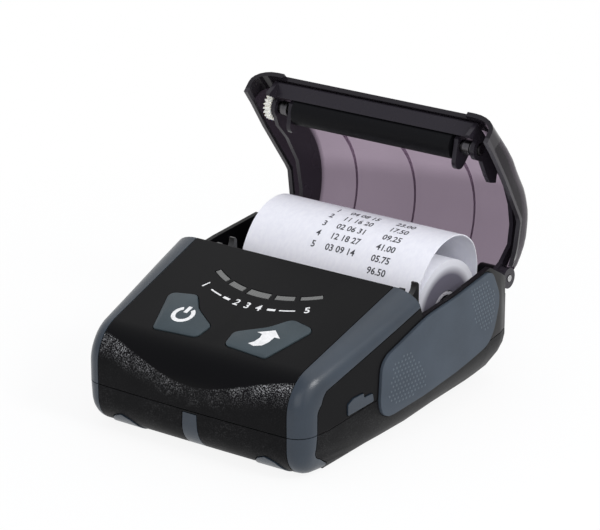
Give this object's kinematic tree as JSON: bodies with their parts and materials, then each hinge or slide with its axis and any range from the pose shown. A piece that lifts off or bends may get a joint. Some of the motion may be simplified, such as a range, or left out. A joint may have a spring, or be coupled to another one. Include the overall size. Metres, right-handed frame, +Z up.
{
  "type": "portable receipt printer",
  "caption": "Hand-held thermal receipt printer with a sloping key panel, soft corner guards, a paper bin and a hinged smoky cover that carries the platen, shown open.",
  "frame": {"origin": "centre of the case's flat underside, half way along the case", "axes": "+X to the right seen from the front, -Y towards the nose, +Z up"},
  "size_m": [0.1114, 0.1444, 0.1056],
  "materials": {
    "case_plastic": "fine textured black",
    "soft_blue": "soft blue-grey",
    "smoke": "smoky see-through",
    "frame_plastic": "glossy black",
    "steel": "turned",
    "head_aluminium": "plain",
    "head_ceramic": "glazed",
    "cream_plastic": "moulded",
    "roller_rubber": "ground",
    "paper": "coated",
    "card": "wound",
    "board": "solder resist",
    "lens": "grey lens",
    "cell_wrap": "shrink wrap"
  },
  "bodies": {
    "case": {"upper_case": "case_plastic", "lower_case": "case_plastic", "paper_bin": "case_plastic", "bumper_left_upper": "soft_blue", "bumper_left_lower": "soft_blue", "bumper_right_upper": "soft_blue", "bumper_right_lower": "soft_blue", "front_strip": "soft_blue", "front_foot_left": "soft_blue", "front_foot_right": "soft_blue", "rear_foot_left": "soft_blue", "rear_foot_right": "soft_blue", "grip_pad_left": "soft_blue", "grip_pad_right": "soft_blue", "light_window_1": "lens", "light_window_2": "lens", "light_window_3": "lens", "light_window_4": "lens", "light_window_5": "lens", "key_board": "board", "power_switch": "case_plastic", "feed_switch": "case_plastic", "main_board": "board", "processor_chip": "case_plastic", "usb_socket": "steel", "battery_pack": "cell_wrap", "battery_door": "case_plastic", "front_screw_left": "steel", "front_screw_right": "steel", "rear_screw_left": "steel", "rear_screw_right": "steel", "mechanism_chassis": "case_plastic", "print_head": "head_ceramic", "head_heatsink": "head_aluminium", "tear_bar": "steel", "feed_motor": "steel", "paper_sensor": "case_plastic", "hinge_pin_left": "steel", "hinge_pin_right": "steel", "paper_tail": "paper"},
    "cover": {"lid_cover": "smoke", "lid_frame": "frame_plastic", "platen_bearing_left": "steel", "platen_bearing_right": "steel", "retaining_clip": "steel"},
    "platen": {"platen_roller": "roller_rubber", "platen_shaft": "steel", "platen_gear": "cream_plastic"},
    "roll": {"paper_roll": "paper", "paper_core": "card"},
    "power_key": {"power_button": "soft_blue"},
    "feed_key": {"feed_button": "soft_blue"},
    "port_flap": {"port_cover": "soft_blue"},
    "idler": {"idler_gear": "cream_plastic"},
    "pinion": {"motor_pinion": "cream_plastic"}
  },
  "joints": [
    {"name": "cover_hinge", "type": "hinge", "parent": "case", "child": "cover", "pos_m": [0, 0.0646, 0.0374], "axis": [1, 0, 0], "range_deg": [0, 61.5]},
    {"name": "platen_spin", "type": "hinge", "parent": "cover", "child": "platen", "pos_m": [0, 0.04833, 0.09126], "axis": [1, 0, 0], "continuous": true},
    {"name": "roll_spin", "type": "hinge", "parent": "case", "child": "roll", "pos_m": [0, 0.036, 0.03], "axis": [1, 0, 0], "continuous": true},
    {"name": "power_key_press", "type": "slide", "parent": "case", "child": "power_key", "axis": [0, 0.2945, -0.9556], "range_m": [0, 0.0008], "stiffness_N_per_m": 300, "springref_m": -0.0005},
    {"name": "feed_key_press", "type": "slide", "parent": "case", "child": "feed_key", "axis": [0, 0.2945, -0.9556], "range_m": [0, 0.0008], "stiffness_N_per_m": 300, "springref_m": -0.0005},
    {"name": "port_flap_hinge", "type": "hinge", "parent": "case", "child": "port_flap", "pos_m": [0.05246, -0.02891, 0.0186], "axis": [0, 0, 1], "range_deg": [0, 110]},
    {"name": "idler_spin", "type": "hinge", "parent": "case", "child": "idler", "pos_m": [0, 0.00676, 0.03589], "axis": [1, 0, 0], "continuous": true},
    {"name": "pinion_spin", "type": "hinge", "parent": "case", "child": "pinion", "pos_m": [0, -0.0013, 0.02811], "axis": [1, 0, 0], "continuous": true}
  ],
  "couplings": [
    {"joint": "pinion_spin", "follows": "idler_spin", "ratio": -2.6667}
  ]
}
